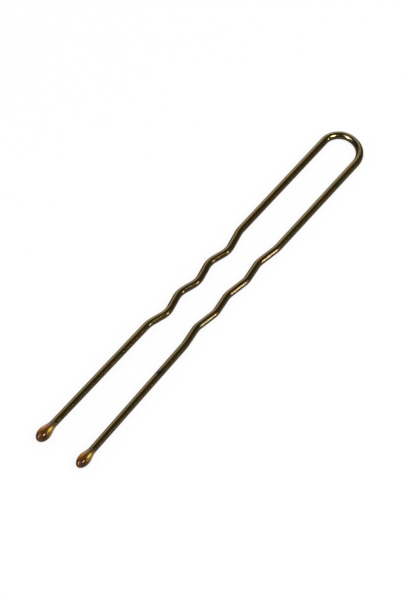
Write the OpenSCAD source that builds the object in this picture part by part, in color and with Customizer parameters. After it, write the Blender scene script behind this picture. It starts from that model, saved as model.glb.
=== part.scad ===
// Crimped U-shaped hairpin: one springy lacquered wire with a resin bead on each tip.
// The pin lies flat, with its bow towards +Y, its tips towards -Y and its left leg at -X.
// The wire flexes along its whole length. It is divided at six round seats, where each leg
// bends most, so that every stretch of it stays rigid and the legs can still spread.

/* [Wire] */
// Diameter of the lacquered spring wire
wire_d = 1.15; // [0.9:0.05:1.4]
// Gap between a rounded wire end and the seat that it turns in
seat_gap = 0.03; // [0.02:0.005:0.05]

/* [Bow] */
// Overall length, from the top of the bow to the tip of the longer leg
pin_len = 75.1; // [64:0.1:92]
// Distance between the two leg centrelines at the bow
leg_spacing = 6.3; // [5:0.1:9]
// Bend radius of the bow's left shoulder at the centreline; the right one takes the rest
bow_left_r = 2.65; // [2:0.05:3.4]
// Straight wire below the bow's larger shoulder, down to the first seats
bow_lead = 1; // [0.8:0.1:2]

/* [Both legs] */
// Inward crimps on each leg
crimp_count = 3; // [2:1:4]
// Straight wire before the first crimp corner and after the last, out to the seats
crimp_lead = 1.8; // [1.5:0.1:2.5]
// Wall of resin between the wire's end and the bead's nose
bead_nose_wall = 0.9; // [0.6:0.1:1.2]
// Thickness of the resin edge where a bead's tail thins out on the wire
bead_lip = 0.03; // [0.02:0.01:0.1]

/* [Left leg] */
// How much shorter the left leg ends than the right one
left_short = 0.65; // [0:0.05:2]
// Outward lean of the straight between bow and crimps, in degrees
left_upper_splay = 0; // [-1:0.05:2]
// Distance from the top of the bow to the first crimp corner
left_crimp_at = 24.8; // [19:0.1:30]
// Length of one crimp along the leg
left_crimp_pitch = 7.4; // [6:0.1:9]
// How far a crimp steps inwards
left_crimp_depth = 0.98; // [0.5:0.02:1.3]
// How far a crimp's inner corner lies past its middle, as a share of the pitch
left_crimp_skew = 0.04; // [-0.1:0.01:0.1]
// Outward lean of the row of crimps, in degrees
left_crimp_lean = 1.2; // [-1:0.1:2]
// Bend radius at the crimps' inner and outer corners
left_bend_r = 3.8; // [2:0.1:6]
// Bend radius where the straights run into the crimps
left_entry_r = 4.8; // [3:0.1:9]
// Outward lean of the straight between crimps and bead, in degrees
left_lower_splay = 0.3; // [-1:0.05:2.5]
// Length of the bead's rounded nose, up to its widest place
left_nose_len = 1.55; // [1.1:0.05:2]
// Length of the bead's tail, from its widest place to the bare wire
left_tail_len = 2.3; // [1.6:0.05:3]
// Diameter of the bead at its widest place
left_bead_d = 2.03; // [1.7:0.01:2.6]

/* [Right leg] */
// Outward lean of the straight between bow and crimps, in degrees
right_upper_splay = 0.45; // [-1:0.05:2]
// Distance from the top of the bow to the first crimp corner
right_crimp_at = 24.3; // [19:0.1:30]
// Length of one crimp along the leg
right_crimp_pitch = 7.65; // [6:0.05:9]
// How far a crimp steps inwards
right_crimp_depth = 0.59; // [0.4:0.01:1.3]
// How far a crimp's inner corner lies past its middle, as a share of the pitch
right_crimp_skew = 0.01; // [-0.1:0.01:0.1]
// Outward lean of the row of crimps, in degrees
right_crimp_lean = -0.5; // [-1:0.1:2]
// Bend radius at the crimps' inner and outer corners
right_bend_r = 3.6; // [2:0.1:6]
// Bend radius where the straights run into the crimps
right_entry_r = 7.5; // [3:0.1:9]
// Outward lean of the straight between crimps and bead, in degrees
right_lower_splay = 1.65; // [-1:0.05:2.5]
// Length of the bead's rounded nose, up to its widest place
right_nose_len = 1.7; // [1.1:0.05:2]
// Length of the bead's tail, from its widest place to the bare wire
right_tail_len = 2; // [1.6:0.05:3]
// Diameter of the bead at its widest place
right_bead_d = 1.9; // [1.7:0.01:2.6]

/* [Hidden] */
$fn = 48;

LEFT = -1;
RIGHT = 1;
WIRE_COLOUR = [0.22, 0.16, 0.07];
RESIN_COLOUR = [0.62, 0.36, 0.1, 0.8];

wire_r = wire_d / 2;
// A rounded end is a hair smaller than the wire, so that its edge is a clean circle.
end_ease = 0.01;
end_r = wire_r - end_ease;
seat_r = end_r + seat_gap;
// The middle of the overall length is the origin, and the larger bead rests on z = 0.
crown_y = pin_len / 2 - wire_r;
wire_z = max(left_bead_d, right_bead_d) / 2;
bow_right_r = leg_spacing - bow_left_r;
crown_x = bow_left_r - leg_spacing / 2;
shoulder_y = crown_y - max(bow_left_r, bow_right_r) - bow_lead;
// A bend is a hair thicker than the straights, and each straight laps into it a little,
// so that they meet in a clean circle.
bend_ease = 0.005;
bend_lap = 0.1;
// Straight left clear of a bend at each end, and segments in half a bead's outline
least_straight = 0.2;
outline_steps = 10;

// Unit vectors down a leg that leans outwards, and squarely inwards from that line.
function down(side, lean) = [side * sin(lean), -cos(lean)];
function inwards(side, lean) = [-side * cos(lean), -sin(lean)];
function heading(a, b) = atan2(b.y - a.y, b.x - a.x);
// Signed turn from one heading to the next, between -180 and 180 degrees.
function turn(p, q, r) =
    let (t = heading(q, r) - heading(p, q))
    t > 180 ? t - 360 : t < -180 ? t + 360 : t;
// Length that a bend takes off the straight on each side of its corner.
function setback(radius, angle) = radius * tan(abs(angle) / 2);
// A bend's radius, limited by the shorter straight beside its corner.
function fitted_radius(p, q, r, radius) =
    let (room = min(norm(q - p), norm(r - q)) / 2 - least_straight)
    min(radius, room / tan(abs(turn(p, q, r)) / 2));

// Places of a leg's seats and crimp corners, from the bow down to the bead.
function shoulder(side) = [side * leg_spacing / 2, shoulder_y];
function crimp_start(side, splay, at) =
    shoulder(side) + down(side, splay) * (shoulder_y + at - pin_len / 2) / cos(splay);
function crimp_corners(side, start, pitch, depth, skew, lean) = [
    start,
    for (k = [0 : crimp_count - 1])
        for (inner = [true, false])
            inner
                ? start + down(side, lean) * pitch * (k + 0.5 + skew) + inwards(side, lean) * depth
                : start + down(side, lean) * pitch * (k + 1)
];
function last(list) = list[len(list) - 1];
// The crimps' route: seat, corners, seat.
function crimp_route(side, upper, corners, lower) = concat(
    [corners[0] - down(side, upper) * crimp_lead],
    corners,
    [last(corners) + down(side, lower) * crimp_lead]
);
// The tip of a bead's nose, on the line of its lower leg.
function nose_tip(side, seat, lower, y) = seat + down(side, lower) * (seat.y - y) / cos(lower);

left_corners = crimp_corners(
    LEFT,
    crimp_start(LEFT, left_upper_splay, left_crimp_at),
    left_crimp_pitch,
    left_crimp_depth,
    left_crimp_skew,
    left_crimp_lean
);
right_corners = crimp_corners(
    RIGHT,
    crimp_start(RIGHT, right_upper_splay, right_crimp_at),
    right_crimp_pitch,
    right_crimp_depth,
    right_crimp_skew,
    right_crimp_lean
);
left_route = crimp_route(LEFT, left_upper_splay, left_corners, left_lower_splay);
right_route = crimp_route(RIGHT, right_upper_splay, right_corners, right_lower_splay);
left_tip = nose_tip(LEFT, last(left_route), left_lower_splay, left_short - pin_len / 2);
right_tip = nose_tip(RIGHT, last(right_route), right_lower_splay, -pin_len / 2);

// Straight round bar between two points of the wire's plane.
module bar(a, b) {
    translate([a.x, a.y, 0])
        rotate([0, 90, heading(a, b)])
            cylinder(h = norm(b - a), r = wire_r);
}

// Round bend at corner q of the route p, q, r.
module bend(p, q, r, radius) {
    angle = turn(p, q, r);
    way = sign(angle);
    from = heading(p, q);
    along = [cos(from), sin(from)];
    centre = q - along * setback(radius, angle) + [-along.y, along.x] * way * radius;
    first = way > 0 ? from - 90 : from + 90 + angle;
    translate([centre.x, centre.y, 0])
        rotate([0, 0, first])
            rotate_extrude(angle = abs(angle))
                translate([radius, 0])
                    circle(r = wire_r + bend_ease);
}

// Wire along a route, straight between its corners and bent round at each one.
module wire_run(route, radii) {
    n = len(route);
    fitted = [for (i = [1 : n - 2]) fitted_radius(route[i - 1], route[i], route[i + 1], radii[i - 1])];
    backs = [
        0,
        for (i = [1 : n - 2])
            setback(fitted[i - 1], turn(route[i - 1], route[i], route[i + 1])) - bend_lap,
        0
    ];
    for (i = [0 : n - 2]) {
        along = (route[i + 1] - route[i]) / norm(route[i + 1] - route[i]);
        bar(route[i] + along * backs[i], route[i + 1] - along * backs[i + 1]);
    }
    for (i = [1 : n - 2])
        bend(route[i - 1], route[i], route[i + 1], fitted[i - 1]);
}

// Ball on the line from p to q, centred on q and turned so that its poles lie on that line.
module ball(p, q, radius) {
    translate([q.x, q.y, 0])
        rotate([0, 90, heading(p, q)])
            sphere(r = radius);
}

// Rounded end at q, which the next stretch of wire turns on.
module round_end(p, q) {
    ball(p, q, end_r);
}

// Hollow seat at q, which is cut into the stretch of wire between p and q.
module seat(p, q) {
    ball(p, q, seat_r);
}

module in_place() {
    translate([0, 0, wire_z])
        children();
}

// Quarter bend of the bow, from the crown down to one shoulder.
module quarter(radius, first) {
    translate([crown_x, crown_y - radius, 0])
        rotate([0, 0, first])
            rotate_extrude(angle = 90)
                translate([radius, 0])
                    circle(r = wire_r + bend_ease);
}

// Straight below one shoulder, with the rounded end that the leg turns on.
module shoulder_bar(side, radius) {
    top = [side * leg_spacing / 2, crown_y - radius + bend_lap];
    bar(top, shoulder(side));
    round_end(top, shoulder(side));
}

module bow() {
    color(WIRE_COLOUR)
        in_place() {
            quarter(bow_left_r, 90);
            quarter(bow_right_r, 0);
            shoulder_bar(LEFT, bow_left_r);
            shoulder_bar(RIGHT, bow_right_r);
        }
}

module upper_leg(side, route) {
    color(WIRE_COLOUR)
        in_place() {
            difference() {
                bar(shoulder(side), route[0]);
                seat(route[0], shoulder(side));
            }
            round_end(shoulder(side), route[0]);
        }
}

module crimps(route, bend_r, entry_r) {
    n = len(route);
    inner_bends = [for (i = [1 : n - 4]) bend_r];
    color(WIRE_COLOUR)
        in_place() {
            difference() {
                wire_run(route, concat([entry_r], inner_bends, [entry_r]));
                seat(route[1], route[0]);
            }
            round_end(route[n - 2], route[n - 1]);
        }
}

// The lower leg ends in its bead, a wall's thickness short of the nose.
module lower_leg(route, tip) {
    top = last(route);
    along = (tip - top) / norm(tip - top);
    color(WIRE_COLOUR)
        in_place()
            difference() {
                bar(top, tip - along * bead_nose_wall);
                seat(tip, top);
            }
}

// Outline of a teardrop bead from nose to tail: half an ellipse, then a fading wave.
function bead_outline(nose_len, tail_len, bead_r) = [
    for (i = [0 : outline_steps])
        let (a = 90 * i / outline_steps)
        [bead_r * sin(a), nose_len * (1 - cos(a))],
    for (i = [1 : outline_steps])
        let (s = i / outline_steps, edge_r = wire_r + bead_lip)
        [edge_r + (bead_r - edge_r) * (1 + cos(180 * s)) / 2, nose_len + tail_len * s],
    [0, nose_len + tail_len]
];

module tip_bead(route, tip, nose_len, tail_len, bead_d) {
    top = last(route);
    color(RESIN_COLOUR)
        in_place()
            translate([tip.x, tip.y, 0])
                rotate([0, 90, heading(tip, top)])
                    difference() {
                        rotate_extrude()
                            polygon(bead_outline(nose_len, tail_len, bead_d / 2));
                        translate([0, 0, bead_nose_wall])
                            cylinder(h = nose_len + tail_len, r = wire_r);
                    }
}

module left_upper_leg() {
    upper_leg(LEFT, left_route);
}

module left_crimps() {
    crimps(left_route, left_bend_r, left_entry_r);
}

module left_lower_leg() {
    lower_leg(left_route, left_tip);
}

module left_tip_bead() {
    tip_bead(left_route, left_tip, left_nose_len, left_tail_len, left_bead_d);
}

module right_upper_leg() {
    upper_leg(RIGHT, right_route);
}

module right_crimps() {
    crimps(right_route, right_bend_r, right_entry_r);
}

module right_lower_leg() {
    lower_leg(right_route, right_tip);
}

module right_tip_bead() {
    tip_bead(right_route, right_tip, right_nose_len, right_tail_len, right_bead_d);
}

bow();
left_upper_leg();
left_crimps();
left_lower_leg();
left_tip_bead();
right_upper_leg();
right_crimps();
right_lower_leg();
right_tip_bead();
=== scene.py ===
"""A crimped U-shaped hairpin: one springy lacquered wire with a resin bead on each tip.

The wire's pieces follow the same bends as the solids that they stand for, and meet end to end,
so that the wire stays one smooth curve.
Lengths are in millimetres and angles in degrees, up to the place where a mesh is made.
"""
import math

import bpy
from mathutils import Matrix, Vector


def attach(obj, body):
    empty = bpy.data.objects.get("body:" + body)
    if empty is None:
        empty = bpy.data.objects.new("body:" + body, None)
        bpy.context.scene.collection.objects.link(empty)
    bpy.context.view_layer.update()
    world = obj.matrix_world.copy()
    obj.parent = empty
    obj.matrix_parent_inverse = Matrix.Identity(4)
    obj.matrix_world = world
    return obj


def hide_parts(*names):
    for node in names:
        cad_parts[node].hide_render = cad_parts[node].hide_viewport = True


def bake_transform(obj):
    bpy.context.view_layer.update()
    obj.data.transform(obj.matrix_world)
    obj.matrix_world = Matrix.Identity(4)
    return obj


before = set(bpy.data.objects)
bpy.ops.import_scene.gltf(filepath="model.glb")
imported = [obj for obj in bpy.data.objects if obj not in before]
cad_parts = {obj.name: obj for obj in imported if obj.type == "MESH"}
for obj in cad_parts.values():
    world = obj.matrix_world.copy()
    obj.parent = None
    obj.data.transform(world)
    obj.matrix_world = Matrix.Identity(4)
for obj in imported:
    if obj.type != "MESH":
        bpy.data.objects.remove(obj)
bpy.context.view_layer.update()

MM = 0.001

# Wire and bow
WIRE_D = 1.15
WIRE_R = WIRE_D / 2
PIN_LEN = 75.1
LEG_SPACING = 6.3
BOW_LEFT_R = 2.65
BOW_RIGHT_R = LEG_SPACING - BOW_LEFT_R
BOW_LEAD = 1
WIRE_Z = 1.015
CROWN = Vector((BOW_LEFT_R - LEG_SPACING / 2, PIN_LEN / 2 - WIRE_R))
SHOULDER_Y = CROWN.y - max(BOW_LEFT_R, BOW_RIGHT_R) - BOW_LEAD

# A trace of straight wire keeps the bow's two bends from meeting in one point
CROWN_FLAT = 0.02

# Legs and beads
CRIMP_COUNT = 3
BEAD_NOSE_WALL = 0.9
BEAD_LIP = 0.03
LEGS = {
    "left": dict(
        side=-1,
        bow_r=BOW_LEFT_R - CROWN_FLAT,
        upper_splay=0,
        crimp_at=24.8,
        pitch=7.4,
        depth=0.98,
        skew=0.04,
        lean=1.2,
        bend_r=3.8,
        entry_r=4.8,
        lower_splay=0.3,
        short=0.65,
        nose_len=1.55,
        tail_len=2.3,
        bead_d=2.03,
    ),
    "right": dict(
        side=1,
        bow_r=BOW_RIGHT_R - CROWN_FLAT,
        upper_splay=0.45,
        crimp_at=24.3,
        pitch=7.65,
        depth=0.59,
        skew=0.01,
        lean=-0.5,
        bend_r=3.6,
        entry_r=7.5,
        lower_splay=1.65,
        short=0,
        nose_len=1.7,
        tail_len=2,
        bead_d=1.9,
    ),
}

# Where the bow piece meets the upper wires, and the radius that eases each leg out of its shoulder
BOW_REACH = 3.5
SHOULDER_EASE_R = 40

# Mesh steps
WIRE_SIDES = 48
RING_SPACING = 0.24
BEAD_SIDES = 64
BEAD_STEPS = 28

# Edges that turn by more than this, in radians, are rims
RIM_ANGLE = 1

# A bead's tail closes this share of the wire's radius out from its axis, hidden in the wire
BEAD_TAIL_INSIDE = 0.8

# Painted light on the resin: amber and orange glows and a golden highlight where light would pass
# through it, and a dark band where the wire would show through: the angle round the bead from its
# right side, how sharply that fades, and the middle and reach as shares of its length
RESIN_MARKS = {
    "painted_amber_glow": (16, 6, 0.65, 0.42),
    "painted_orange_glow": (122, 8, 0.5, 0.36),
    "painted_golden_highlight": (50, 110, 0.6, 0.22),
    "painted_dark_core": (78, 30, 0.8, 0.55),
}
RESIN_MARK_STRENGTH = 1.6

# Scuffs in the lacquer: across, along and down from the crown's middle, with the wire pulled
# straight, and how far each one reaches
SCUFFS = [
    ((0.1, 55.8, -0.55), 0.55),
    ((0.55, -35.3, -0.1), 0.45),
]

# The table: its gap below the lowest points, its width, the dark grey that keeps its shadow faint,
# and the glow that shows it as white
TABLE_GAP = 0.02
TABLE_SIZE = 3000
TABLE_SHADE = 0.14
TABLE_GLOW = 0.87

# Camera
CAMERA_AZIMUTH = 35.66
CAMERA_ELEVATION = 49.85
CAMERA_DISTANCE = 2647.3
CAMERA_LENS = 1080
CAMERA_AIM_RIGHT = -0.831
CAMERA_AIM_UP = -0.212


# The wire's route

def down(side, lean):
    angle = math.radians(lean)
    return Vector((side * math.sin(angle), -math.cos(angle)))


def inwards(side, lean):
    angle = math.radians(lean)
    return Vector((-side * math.cos(angle), -math.sin(angle)))


def shoulder(leg):
    return Vector((leg["side"] * LEG_SPACING / 2, SHOULDER_Y))


def crimp_corners(leg):
    fall = SHOULDER_Y + leg["crimp_at"] - PIN_LEN / 2
    start = shoulder(leg) + down(leg["side"], leg["upper_splay"]) * (
        fall / math.cos(math.radians(leg["upper_splay"]))
    )
    row = down(leg["side"], leg["lean"]) * leg["pitch"]
    step = inwards(leg["side"], leg["lean"]) * leg["depth"]
    corners = [start]
    for k in range(CRIMP_COUNT):
        corners.append(start + row * (k + 0.5 + leg["skew"]) + step)
        corners.append(start + row * (k + 1))
    return corners


def nose_tip(leg, last_corner):
    way = down(leg["side"], leg["lower_splay"])
    return last_corner + way * ((last_corner.y - leg["short"] + PIN_LEN / 2) / -way.y)


def turn(before, corner, after):
    a = corner - before
    b = after - corner
    return abs(a.angle_signed(b))


def bent_length(points, radii):
    """Length of wire along a route, with each corner rounded to its radius."""
    total = sum((q - p).length for p, q in zip(points, points[1:]))
    for i, radius in enumerate(radii):
        angle = turn(*points[i : i + 3])
        total -= radius * (2 * math.tan(angle / 2) - angle)
    return total


# The wire's mesh

def put(tree, kind, **settings):
    node = tree.nodes.new(kind)
    for name, value in settings.items():
        setattr(node, name, value)
    return node


def feed(tree, source, target):
    tree.links.new(source, target)


def cuts_for_spacing(tree, spacing):
    """How many cuts bring each stretch of a route down to the ring spacing."""
    measure = put(tree, "GeometryNodeSplineParameter")
    number = put(tree, "GeometryNodeInputIndex")
    following = put(tree, "FunctionNodeIntegerMath", operation="ADD")
    following.inputs[1].default_value = 1
    its_end = put(tree, "GeometryNodeFieldAtIndex", data_type="FLOAT", domain="POINT")
    length = put(tree, "ShaderNodeMath", operation="SUBTRACT")
    count = put(tree, "ShaderNodeMath", operation="DIVIDE")
    at_least_none = put(tree, "ShaderNodeMath", operation="MAXIMUM")
    at_least_none.inputs[1].default_value = 0
    feed(tree, number.outputs["Index"], following.inputs[0])
    feed(tree, following.outputs[0], its_end.inputs["Index"])
    feed(tree, measure.outputs["Length"], its_end.inputs["Value"])
    feed(tree, its_end.outputs["Value"], length.inputs[0])
    feed(tree, measure.outputs["Length"], length.inputs[1])
    feed(tree, length.outputs[0], count.inputs[0])
    feed(tree, spacing, count.inputs[1])
    feed(tree, count.outputs[0], at_least_none.inputs[0])
    return at_least_none.outputs[0]


def rounded_route(tree, given):
    """The route with its corners rounded to their own radii."""
    route = put(tree, "GeometryNodeMeshToCurve")
    smooth = put(tree, "GeometryNodeCurveSplineType", spline_type="BEZIER")
    radius = put(tree, "GeometryNodeInputNamedAttribute", data_type="FLOAT")
    radius.inputs["Name"].default_value = "bend_radius"
    rounded = put(tree, "GeometryNodeFilletCurve", mode="BEZIER")
    rounded.inputs["Limit Radius"].default_value = True
    feed(tree, given["Geometry"], route.inputs["Mesh"])
    feed(tree, route.outputs["Curve"], smooth.inputs["Curve"])
    feed(tree, smooth.outputs["Curve"], rounded.inputs["Curve"])
    feed(tree, radius.outputs["Attribute"], rounded.inputs["Radius"])
    return rounded.outputs["Curve"]


def stretch_of_route(tree, given, route):
    """The part of the route that this piece takes, in even steps, and the length to each point."""
    trimmed = put(tree, "GeometryNodeTrimCurve", mode="LENGTH")
    divided = put(tree, "GeometryNodeSubdivideCurve")
    finer = put(tree, "GeometryNodeSetSplineResolution")
    finer.inputs["Resolution"].default_value = 2
    upright = put(tree, "GeometryNodeSetCurveNormal", mode="Z_UP")
    measure = put(tree, "GeometryNodeSplineParameter")
    along = put(tree, "ShaderNodeMath", operation="ADD")
    kept = put(tree, "GeometryNodeCaptureAttribute")
    kept.capture_items.new("FLOAT", "Along")
    feed(tree, route, trimmed.inputs["Curve"])
    feed(tree, given["Skipped Length"], trimmed.inputs[4])
    feed(tree, given["End Length"], trimmed.inputs[5])
    feed(tree, trimmed.outputs["Curve"], divided.inputs["Curve"])
    feed(tree, cuts_for_spacing(tree, given["Ring Spacing"]), divided.inputs["Cuts"])
    feed(tree, divided.outputs["Curve"], finer.inputs["Geometry"])
    feed(tree, finer.outputs["Geometry"], upright.inputs["Curve"])
    feed(tree, measure.outputs["Length"], along.inputs[0])
    feed(tree, given["Length Before"], along.inputs[1])
    feed(tree, upright.outputs["Curve"], kept.inputs["Geometry"])
    feed(tree, along.outputs[0], kept.inputs["Along"])
    return kept.outputs["Geometry"], kept.outputs["Along"]


def wire_section(tree, given):
    """The wire's round section, and each point's place on it."""
    half = put(tree, "ShaderNodeMath", operation="MULTIPLY")
    half.inputs[1].default_value = 0.5
    ring = put(tree, "GeometryNodeCurvePrimitiveCircle", mode="RADIUS")
    place = put(tree, "GeometryNodeInputPosition")
    kept = put(tree, "GeometryNodeCaptureAttribute")
    kept.capture_items.new("VECTOR", "Round")
    feed(tree, given["Wire Diameter"], half.inputs[0])
    feed(tree, half.outputs[0], ring.inputs["Radius"])
    feed(tree, given["Sides"], ring.inputs["Resolution"])
    feed(tree, ring.outputs["Curve"], kept.inputs["Geometry"])
    feed(tree, place.outputs["Position"], kept.inputs["Round"])
    return kept.outputs["Geometry"], kept.outputs["Round"]


def with_straight_place(tree, given, wire, along, around):
    """Stores where each point would be if the whole wire were pulled straight at the crown."""
    split = put(tree, "ShaderNodeSeparateXYZ")
    straight = put(tree, "ShaderNodeCombineXYZ")
    turned = put(tree, "ShaderNodeCombineXYZ")
    turned.inputs["Z"].default_value = 1
    one_way = put(tree, "ShaderNodeVectorMath", operation="MULTIPLY")
    stored = put(tree, "GeometryNodeStoreNamedAttribute", data_type="FLOAT_VECTOR", domain="POINT")
    stored.inputs["Name"].default_value = "straight_place"
    feed(tree, around, split.inputs[0])
    feed(tree, split.outputs["X"], straight.inputs["X"])
    feed(tree, along, straight.inputs["Y"])
    feed(tree, split.outputs["Y"], straight.inputs["Z"])
    feed(tree, given["Side Of Crown"], turned.inputs["X"])
    feed(tree, given["Side Of Crown"], turned.inputs["Y"])
    feed(tree, straight.outputs["Vector"], one_way.inputs[0])
    feed(tree, turned.outputs["Vector"], one_way.inputs[1])
    feed(tree, wire, stored.inputs["Geometry"])
    feed(tree, one_way.outputs["Vector"], stored.inputs["Value"])
    return stored.outputs["Geometry"]


def with_crisp_ends(tree, wire):
    """Keeps the rims of the wire's flat ends sharp."""
    bend_angle = put(tree, "GeometryNodeInputMeshEdgeAngle")
    rim = put(tree, "FunctionNodeCompare", data_type="FLOAT", operation="GREATER_THAN")
    rim.inputs["B"].default_value = RIM_ANGLE
    crisp = put(tree, "GeometryNodeSetShadeSmooth", domain="EDGE")
    crisp.inputs["Shade Smooth"].default_value = False
    feed(tree, bend_angle.outputs["Unsigned Angle"], rim.inputs["A"])
    feed(tree, wire, crisp.inputs["Geometry"])
    feed(tree, rim.outputs["Result"], crisp.inputs["Selection"])
    return crisp.outputs["Geometry"]


def bent_wire_tree():
    """Rounds a route's corners, trims it, and sweeps a round wire along it."""
    tree = bpy.data.node_groups.new("Bent wire", "GeometryNodeTree")
    sockets = tree.interface
    sockets.new_socket("Geometry", in_out="INPUT", socket_type="NodeSocketGeometry")
    lengths = ("Wire Diameter", "Skipped Length", "End Length", "Length Before", "Ring Spacing")
    for name in (*lengths, "Side Of Crown"):
        sockets.new_socket(name, in_out="INPUT", socket_type="NodeSocketFloat")
    sockets.new_socket("Sides", in_out="INPUT", socket_type="NodeSocketInt")
    sockets.new_socket("Finish", in_out="INPUT", socket_type="NodeSocketMaterial")
    sockets.new_socket("Geometry", in_out="OUTPUT", socket_type="NodeSocketGeometry")
    given = put(tree, "NodeGroupInput").outputs
    made = put(tree, "NodeGroupOutput")

    curve, along = stretch_of_route(tree, given, rounded_route(tree, given))
    section, around = wire_section(tree, given)
    swept = put(tree, "GeometryNodeCurveToMesh")
    swept.inputs["Fill Caps"].default_value = True
    feed(tree, curve, swept.inputs["Curve"])
    feed(tree, section, swept.inputs["Profile Curve"])
    placed = with_straight_place(tree, given, swept.outputs["Mesh"], along, around)

    real = put(tree, "GeometryNodeRealizeInstances")
    finished = put(tree, "GeometryNodeSetMaterial")
    feed(tree, with_crisp_ends(tree, placed), real.inputs["Geometry"])
    feed(tree, real.outputs["Geometry"], finished.inputs["Geometry"])
    feed(tree, given["Finish"], finished.inputs["Material"])
    feed(tree, finished.outputs["Geometry"], made.inputs["Geometry"])
    return tree


def route_object(points, radii):
    mesh = bpy.data.meshes.new("route")
    corners = [(p.x * MM, p.y * MM, WIRE_Z * MM) for p in points]
    mesh.from_pydata(corners, [(i, i + 1) for i in range(len(corners) - 1)], [])
    bend_radius = mesh.attributes.new("bend_radius", "FLOAT", "POINT")
    for i, radius in enumerate([0, *radii, 0]):
        bend_radius.data[i].value = radius * MM
    route = bpy.data.objects.new("route", mesh)
    bpy.context.scene.collection.objects.link(route)
    return route


def set_inputs(modifier, **values):
    for socket in modifier.node_group.interface.items_tree:
        if socket.in_out == "INPUT" and socket.name in values:
            modifier[socket.identifier] = values[socket.name]


def bent_wire(name, points, radii, finish, skipped=0, end=1000, before=0, side=1):
    """One stretch of wire as a plain closed mesh; side is -1 on the left of the crown."""
    route = route_object(points, radii)
    modifier = route.modifiers.new("Bent wire", "NODES")
    modifier.node_group = WIRE_TREE
    set_inputs(
        modifier,
        **{
            "Wire Diameter": WIRE_D * MM,
            "Skipped Length": skipped * MM,
            "End Length": end * MM,
            "Length Before": before * MM,
            "Side Of Crown": side,
            "Ring Spacing": RING_SPACING * MM,
            "Sides": WIRE_SIDES,
            "Finish": finish,
        },
    )
    graph = bpy.context.evaluated_depsgraph_get()
    mesh = bpy.data.meshes.new_from_object(route.evaluated_get(graph))
    mesh.name = name
    bpy.data.objects.remove(route)
    piece = bpy.data.objects.new(name, mesh)
    bpy.context.scene.collection.objects.link(piece)
    return piece


# Finishes

def shader(name):
    finish = bpy.data.materials.new(name)
    finish.use_nodes = True
    tree = finish.node_tree
    return finish, tree, tree.nodes["Principled BSDF"]


def noise(tree, source, scale, stretch=(1, 1, 1), detail=3):
    mapping = put(tree, "ShaderNodeMapping")
    mapping.inputs["Scale"].default_value = [scale * s for s in stretch]
    grain = put(tree, "ShaderNodeTexNoise")
    grain.inputs["Scale"].default_value = 1
    grain.inputs["Detail"].default_value = detail
    feed(tree, source, mapping.inputs["Vector"])
    feed(tree, mapping.outputs["Vector"], grain.inputs["Vector"])
    return grain.outputs["Fac"]


def spread(tree, source, low, high, from_low=0.3, from_high=0.7):
    """A noise's usual range, mapped to low and high."""
    ranged = put(tree, "ShaderNodeMapRange")
    ranged.inputs["From Min"].default_value = from_low
    ranged.inputs["From Max"].default_value = from_high
    ranged.inputs["To Min"].default_value = low
    ranged.inputs["To Max"].default_value = high
    feed(tree, source, ranged.inputs["Value"])
    return ranged.outputs["Result"]


def mixed(tree, share, a, b):
    """Colour a or b, each a colour or another node's output, by share."""
    mix = put(tree, "ShaderNodeMix", data_type="RGBA")
    feed(tree, share, mix.inputs["Factor"])
    for socket, colour in ((mix.inputs[6], a), (mix.inputs[7], b)):
        if isinstance(colour, tuple):
            socket.default_value = (*colour, 1)
        else:
            feed(tree, colour, socket)
    return mix.outputs[2]


def scuffed(tree, wire):
    """1 on the lacquer's scuffs, fading to 0 round them."""
    either = None
    for spot, reach in SCUFFS:
        gap = put(tree, "ShaderNodeVectorMath", operation="DISTANCE")
        gap.inputs[1].default_value = [v * MM for v in spot]
        feed(tree, wire, gap.inputs[0])
        mark = spread(tree, gap.outputs["Value"], 1, 0, 0.5 * reach * MM, reach * MM)
        if either is not None:
            most = put(tree, "ShaderNodeMath", operation="MAXIMUM")
            feed(tree, either, most.inputs[0])
            feed(tree, mark, most.inputs[1])
            mark = most.outputs[0]
        either = mark
    return either


def bronze_lacquer():
    """Bronze lacquer over drawn spring wire: olive to rust, smoky in places, with two scuffs."""
    finish, tree, gloss = shader("bronze_lacquer")
    wire = put(tree, "ShaderNodeAttribute", attribute_name="straight_place").outputs["Vector"]
    clouds = noise(tree, wire, 260, detail=2)
    smoke = noise(tree, wire, 170, detail=2)
    streaks = noise(tree, wire, 3500, stretch=(1, 0.02, 1), detail=1)
    olive = (0.053, 0.040, 0.009)
    rust = (0.067, 0.037, 0.008)
    smoky = (0.032, 0.029, 0.016)
    worn = (0.095, 0.075, 0.025)
    steel = (0.004, 0.003, 0.003)
    lacquer = mixed(tree, spread(tree, clouds, 0, 1, 0.38, 0.62), olive, rust)
    lacquer = mixed(tree, spread(tree, smoke, 0, 0.7, 0.55, 0.68), lacquer, smoky)
    lacquer = mixed(tree, spread(tree, streaks, 0, 0.35, 0.55, 0.75), lacquer, worn)
    feed(tree, mixed(tree, scuffed(tree, wire), lacquer, steel), gloss.inputs["Base Color"])
    feed(tree, spread(tree, streaks, 0.17, 0.21), gloss.inputs["Roughness"])
    gloss.inputs["Metallic"].default_value = 0.85
    gloss.inputs["Coat Weight"].default_value = 0.22
    gloss.inputs["Coat Roughness"].default_value = 0.12
    gloss.inputs["Specular Tint"].default_value = (0.35, 0.27, 0.15, 1)
    draw_lines = put(tree, "ShaderNodeBump")
    draw_lines.inputs["Strength"].default_value = 0.05
    draw_lines.inputs["Distance"].default_value = 0.002 * MM
    feed(tree, streaks, draw_lines.inputs["Height"])
    feed(tree, draw_lines.outputs["Normal"], gloss.inputs["Normal"])
    return finish


def colour_steps(tree, share, steps):
    """A colour for each share from 0 to 1, from a list of places and colours."""
    ramp = put(tree, "ShaderNodeValToRGB")
    stops = ramp.color_ramp.elements
    while len(stops) < len(steps):
        stops.new(0.5)
    for stop, (place, colour) in zip(stops, steps):
        stop.position = place
        stop.color = (*colour, 1)
    feed(tree, share, ramp.inputs["Fac"])
    return ramp.outputs["Color"]


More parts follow.
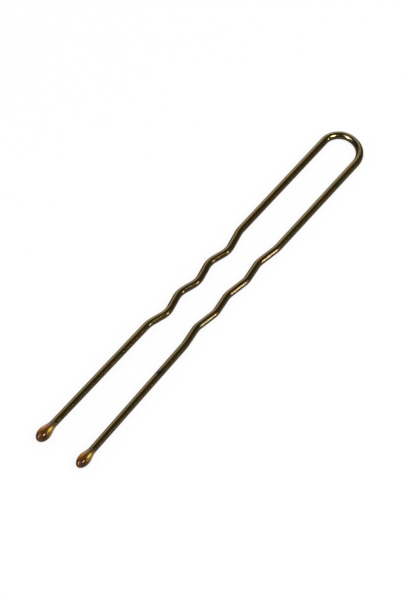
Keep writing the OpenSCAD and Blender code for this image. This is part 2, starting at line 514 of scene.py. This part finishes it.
def amber_resin():
    """Glossy amber resin: reddish at the nose, dark over the wire, with painted glows, a painted
    highlight and a painted dark core.
    """
    finish, tree, gloss = shader("amber_resin")
    place = put(tree, "ShaderNodeTexCoord").outputs["Object"]
    clouds = noise(tree, place, 1500, detail=2)
    marks = {
        name: put(tree, "ShaderNodeAttribute", attribute_name=name).outputs["Fac"]
        for name in ("from_nose", *RESIN_MARKS)
    }
    body = colour_steps(
        tree,
        marks["from_nose"],
        [
            (0.0, (0.180, 0.080, 0.032)),
            (0.1, (0.080, 0.028, 0.010)),
            (0.25, (0.032, 0.010, 0.003)),
            (0.45, (0.070, 0.024, 0.004)),
            (0.7, (0.110, 0.050, 0.008)),
            (0.88, (0.060, 0.036, 0.008)),
            (1.0, (0.036, 0.026, 0.008)),
        ],
    )
    # Painted light: amber and orange glows on two sides stand in for light passing through the
    # resin
    with_painted_light = mixed(tree, marks["painted_amber_glow"], body, (0.34, 0.16, 0.008))
    with_painted_light = mixed(tree, marks["painted_orange_glow"], with_painted_light, (0.58, 0.21, 0.008))
    # A painted dark band stands in for the wire seen through the resin
    with_painted_light = mixed(tree, marks["painted_dark_core"], with_painted_light, (0.055, 0.020, 0.003))
    brown = (0.12, 0.045, 0.01)
    cloudy = mixed(tree, spread(tree, clouds, 0, 0.5), with_painted_light, brown)
    # A painted golden highlight on one side of the bead
    golden = mixed(tree, marks["painted_golden_highlight"], cloudy, (1, 0.76, 0.14))
    feed(tree, golden, gloss.inputs["Base Color"])
    feed(tree, spread(tree, clouds, 0.08, 0.16), gloss.inputs["Roughness"])
    gloss.inputs["IOR"].default_value = 1.5
    gloss.inputs["Specular IOR Level"].default_value = 0.1
    gloss.inputs["Transmission Weight"].default_value = 0.1
    gloss.inputs["Specular Tint"].default_value = (0.75, 0.52, 0.36, 1)
    return finish


# Beads

def bead_radius(leg, t):
    """Distance from the nose and radius at step t, from 0 at the nose to 2 at the tail."""
    bead_r = leg["bead_d"] / 2
    edge_r = WIRE_R + BEAD_LIP
    if t <= 1:
        angle = t * math.pi / 2
        return leg["nose_len"] * (1 - math.cos(angle)), bead_r * math.sin(angle)
    wave = (1 + math.cos(math.pi * (t - 1))) / 2
    return leg["nose_len"] + leg["tail_len"] * (t - 1), edge_r + (bead_r - edge_r) * wave


def shade_bead(mesh, outline, length):
    """Gives each point its share of the bead's length, and the strength of each painted light mark
    on the resin.
    """
    names = ("from_nose", *RESIN_MARKS)
    for name in names:
        mesh.attributes.new(name, "FLOAT", "POINT")
    marks = {name: mesh.attributes[name].data for name in names}
    for i, (height, _) in enumerate(outline):
        share = height / length
        for k in range(BEAD_SIDES):
            point = 1 + i * BEAD_SIDES + k
            marks["from_nose"][point].value = share
            for name, (angle, sharpness, middle, reach) in RESIN_MARKS.items():
                turned = 2 * math.pi * k / BEAD_SIDES - math.radians(angle)
                facing = max(0, math.cos(turned)) ** sharpness
                near = max(0, 1 - abs(share - middle) / reach)
                marks[name][point].value = min(1, RESIN_MARK_STRENGTH * facing * near)
    marks["from_nose"][len(mesh.vertices) - 1].value = 1


def resin_bead(name, leg, tip, finish):
    """Teardrop of resin, closed at its nose and, inside the wire, at its tail."""
    along = -down(leg["side"], leg["lower_splay"]).to_3d()
    up = Vector((0, 0, 1))
    across = along.cross(up)
    nose = Vector((tip.x, tip.y, WIRE_Z))
    outline = [bead_radius(leg, 2 * i / BEAD_STEPS) for i in range(1, BEAD_STEPS + 1)]
    outline.append((outline[-1][0], WIRE_R * BEAD_TAIL_INSIDE))
    corners = [nose]
    for height, radius in outline:
        for k in range(BEAD_SIDES):
            angle = 2 * math.pi * k / BEAD_SIDES
            ray = across * math.cos(angle) + up * math.sin(angle)
            corners.append(nose + along * height + ray * radius)
    corners.append(nose + along * outline[-1][0])
    rings = len(outline)
    faces = []
    for k in range(BEAD_SIDES):
        after = (k + 1) % BEAD_SIDES
        faces.append((0, 1 + k, 1 + after))
        for i in range(rings - 1):
            low = 1 + i * BEAD_SIDES
            high = low + BEAD_SIDES
            faces.append((low + k, high + k, high + after, low + after))
        last = 1 + (rings - 1) * BEAD_SIDES
        faces.append((last + after, last + k, len(corners) - 1))
    mesh = bpy.data.meshes.new(name)
    mesh.from_pydata([c * MM for c in corners], [], faces)
    mesh.materials.append(finish)
    for polygon in mesh.polygons:
        polygon.use_smooth = True
    shade_bead(mesh, outline, leg["nose_len"] + leg["tail_len"])
    bead = bpy.data.objects.new(name, mesh)
    bpy.context.scene.collection.objects.link(bead)
    return bead


# The pin's pieces


def flex(piece):
    """Bakes a piece's placement into its mesh."""
    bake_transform(piece)


def make_bow(finish):
    """The bow over its crown, as far as BOW_REACH down each side."""
    left_x = -LEG_SPACING / 2
    right_x = LEG_SPACING / 2
    points = [
        Vector((left_x, SHOULDER_Y)),
        Vector((left_x, CROWN.y)),
        Vector((right_x, CROWN.y)),
        Vector((right_x, SHOULDER_Y)),
    ]
    radii = [leg["bow_r"] for leg in LEGS.values()]
    crown_at = bent_length([*points[:2], CROWN], radii[:1])
    bow = bent_wire(
        "bow_wire",
        points,
        radii,
        finish,
        skipped=crown_at - BOW_REACH,
        end=crown_at + BOW_REACH,
        before=-crown_at,
    )
    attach(bow, "bow")
    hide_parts("bow")


def leg_stretches(leg, wire_end):
    """Points and bend radii of a leg's wire above, through and below its crimps."""
    corners = crimp_corners(leg)
    bow_corner = Vector((leg["side"] * LEG_SPACING / 2, CROWN.y))
    upper_middle = (shoulder(leg) + corners[0]) / 2
    crimp_middle = (corners[-3] + corners[-2]) / 2
    bends = [leg["bend_r"]] * (len(corners) - 3)
    above = ([CROWN, bow_corner, shoulder(leg), upper_middle], [leg["bow_r"], SHOULDER_EASE_R])
    if leg["upper_splay"] == 0:
        above = ([CROWN, bow_corner, upper_middle], [leg["bow_r"]])
    through = ([upper_middle, *corners[:-2], crimp_middle], [leg["entry_r"], *bends])
    below = ([crimp_middle, *corners[-2:], wire_end], [leg["bend_r"], leg["entry_r"]])
    return above, through, below


def make_leg(name, wire_finish, resin):
    leg = LEGS[name]
    side = leg["side"]
    tip = nose_tip(leg, crimp_corners(leg)[-1])
    wire_end = tip - down(side, leg["lower_splay"]) * BEAD_NOSE_WALL
    above, through, below = leg_stretches(leg, wire_end)
    crimps_at = bent_length(*above)
    lower_at = crimps_at + bent_length(*through)

    upper = bent_wire(
        f"{name}_upper_wire",
        *above,
        wire_finish,
        skipped=BOW_REACH,
        before=BOW_REACH,
        side=side,
    )
    flex(upper)
    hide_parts(f"{name}_upper_leg")

    crimped = bent_wire(f"{name}_crimped_wire", *through, wire_finish, before=crimps_at, side=side)
    flex(crimped)
    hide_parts(f"{name}_crimps")

    lower = bent_wire(f"{name}_lower_wire", *below, wire_finish, before=lower_at, side=side)
    flex(lower)
    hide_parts(f"{name}_lower_leg")

    bead = resin_bead(f"{name}_resin_bead", leg, tip, resin)
    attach(bead, f"{name}_lower")
    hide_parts(f"{name}_tip_bead")


# Floor, light and camera

def towards(azimuth, elevation):
    """Unit vector from the object; azimuth 0 is on the side of the tips, and 90 on the right."""
    a = math.radians(azimuth)
    e = math.radians(elevation)
    return Vector((math.sin(a) * math.cos(e), -math.cos(a) * math.cos(e), math.sin(e)))


def seen_by_camera_and_gloss(tree):
    """1 for rays from the camera, a glossy surface or glass, else 0."""
    rays = put(tree, "ShaderNodeLightPath")
    either = put(tree, "ShaderNodeMath", operation="MAXIMUM")
    any_of = put(tree, "ShaderNodeMath", operation="MAXIMUM")
    feed(tree, rays.outputs["Is Camera Ray"], either.inputs[0])
    feed(tree, rays.outputs["Is Glossy Ray"], either.inputs[1])
    feed(tree, either.outputs[0], any_of.inputs[0])
    feed(tree, rays.outputs["Is Transmission Ray"], any_of.inputs[1])
    return any_of.outputs[0]


def white_table():
    """Matt paper that the camera and glossy surfaces see as white."""
    finish, tree, paper = shader("white_table")
    paper.inputs["Base Color"].default_value = (TABLE_SHADE, TABLE_SHADE, TABLE_SHADE, 1)
    paper.inputs["Roughness"].default_value = 0.9
    paper.inputs["Specular IOR Level"].default_value = 0
    paper.inputs["Emission Color"].default_value = (1, 1, 1, 1)
    glow = put(tree, "ShaderNodeMath", operation="MULTIPLY")
    glow.inputs[1].default_value = TABLE_GLOW
    feed(tree, seen_by_camera_and_gloss(tree), glow.inputs[0])
    feed(tree, glow.outputs[0], paper.inputs["Emission Strength"])
    return finish


def bead_rest(leg):
    """The place on the table under the thickest part of a leg's bead."""
    tip = nose_tip(leg, crimp_corners(leg)[-1])
    middle = tip - down(leg["side"], leg["lower_splay"]) * leg["nose_len"]
    return Vector((middle.x, middle.y, WIRE_Z - leg["bead_d"] / 2 - TABLE_GAP))


def make_floor():
    """White table, tilted a hair so that the bow and both beads rest on it."""
    left, right = [bead_rest(leg) for leg in LEGS.values()]
    bow = Vector((CROWN.x, CROWN.y, WIRE_Z - WIRE_R - TABLE_GAP))
    up = (right - left).cross(bow - left).normalized()
    x = Vector((1, 0, 0))
    x = (x - up * x.dot(up)).normalized()
    y = up.cross(x)
    sides = ((-1, -1), (1, -1), (1, 1), (-1, 1))
    corners = [(left + (x * a + y * b) * TABLE_SIZE / 2) * MM for a, b in sides]
    mesh = bpy.data.meshes.new("table")
    mesh.from_pydata(corners, [], [(0, 1, 2, 3)])
    mesh.materials.append(white_table())
    table = bpy.data.objects.new("table", mesh)
    bpy.context.scene.collection.objects.link(table)


def make_world():
    """Room that lights evenly, and shows in gloss as white low down and dim higher up."""
    world = bpy.data.worlds.new("studio")
    bpy.context.scene.world = world
    world.use_nodes = True
    tree = world.node_tree
    sky = tree.nodes["Background"]
    height = put(tree, "ShaderNodeSeparateXYZ")
    ramp = put(tree, "ShaderNodeMapRange")
    ramp.inputs["From Min"].default_value = 0.06
    ramp.inputs["From Max"].default_value = 0.2
    ramp.inputs["To Min"].default_value = 1
    ramp.inputs["To Max"].default_value = 0.15
    feed(tree, put(tree, "ShaderNodeTexCoord").outputs["Generated"], height.inputs[0])
    feed(tree, height.outputs["Z"], ramp.inputs["Value"])
    strength = put(tree, "ShaderNodeMix", data_type="FLOAT")
    strength.inputs["A"].default_value = 0.6
    feed(tree, seen_by_camera_and_gloss(tree), strength.inputs["Factor"])
    feed(tree, ramp.outputs["Result"], strength.inputs["B"])
    feed(tree, strength.outputs["Result"], sky.inputs["Strength"])
    sky.inputs["Color"].default_value = (1, 1, 1, 1)


def soft_light(name, azimuth, elevation, wide, tall, brightness, lean=0, shape="RECTANGLE"):
    """A lamp that faces the pin; wide and tall are the angles that it fills."""
    distance = 800
    lamp = bpy.data.lights.new(name, "AREA")
    lamp.shape = shape
    lamp.size = 2 * distance * math.tan(math.radians(wide / 2)) * MM
    lamp.size_y = 2 * distance * math.tan(math.radians(tall / 2)) * MM
    lamp.energy = brightness * math.pi * lamp.size * lamp.size_y
    light = bpy.data.objects.new(name, lamp)
    light.location = towards(azimuth, elevation) * distance * MM
    faced = towards(azimuth, elevation).to_track_quat("Z", "Y").to_matrix()
    light.rotation_euler = (faced @ Matrix.Rotation(math.radians(lean), 3, "Z")).to_euler()
    light.visible_camera = False
    bpy.context.scene.collection.objects.link(light)
    return light


def glint(*args, **sizes):
    """A small lamp that shows in glossy surfaces only and adds no light to the rest."""
    soft_light(*args, shape="ELLIPSE", **sizes).visible_diffuse = False


def make_lights():
    soft_light("window_left", -146, 22, wide=52, tall=52, brightness=4).visible_diffuse = False
    soft_light("window_right", 75, 50, wide=40, tall=40, brightness=3.2).visible_glossy = False
    glint("sheen_front", -35, 50, wide=30, tall=38, brightness=17)
    glint("glint_right", 110, 10, wide=3.5, tall=54, brightness=17, lean=-11)
    glint("glint_right_core", 110.5, 15, wide=3, tall=26, brightness=20, lean=-11)
    glint("glint_over_bow", 80, 47, wide=24, tall=24, brightness=60)
    glint("glint_front", -25, 30, wide=15, tall=24, brightness=60)


def make_camera():
    back = towards(CAMERA_AZIMUTH, CAMERA_ELEVATION)
    a = math.radians(CAMERA_AZIMUTH)
    right = Vector((math.cos(a), math.sin(a), 0))
    up = back.cross(right)
    aim = (right * CAMERA_AIM_RIGHT + up * CAMERA_AIM_UP) * MM
    lens = bpy.data.cameras.new("camera")
    lens.lens = CAMERA_LENS
    lens.clip_start = 0.1
    lens.clip_end = 10
    camera = bpy.data.objects.new("camera", lens)
    camera.location = aim + back * CAMERA_DISTANCE * MM
    camera.rotation_euler = back.to_track_quat("Z", "Y").to_euler()
    bpy.context.scene.collection.objects.link(camera)
    bpy.context.scene.camera = camera


WIRE_TREE = bent_wire_tree()
lacquer = bronze_lacquer()
resin = amber_resin()
make_bow(lacquer)
for side_name in LEGS:
    make_leg(side_name, lacquer, resin)
make_floor()
make_world()
make_lights()
make_camera()
bpy.context.scene.view_settings.view_transform = "Standard"
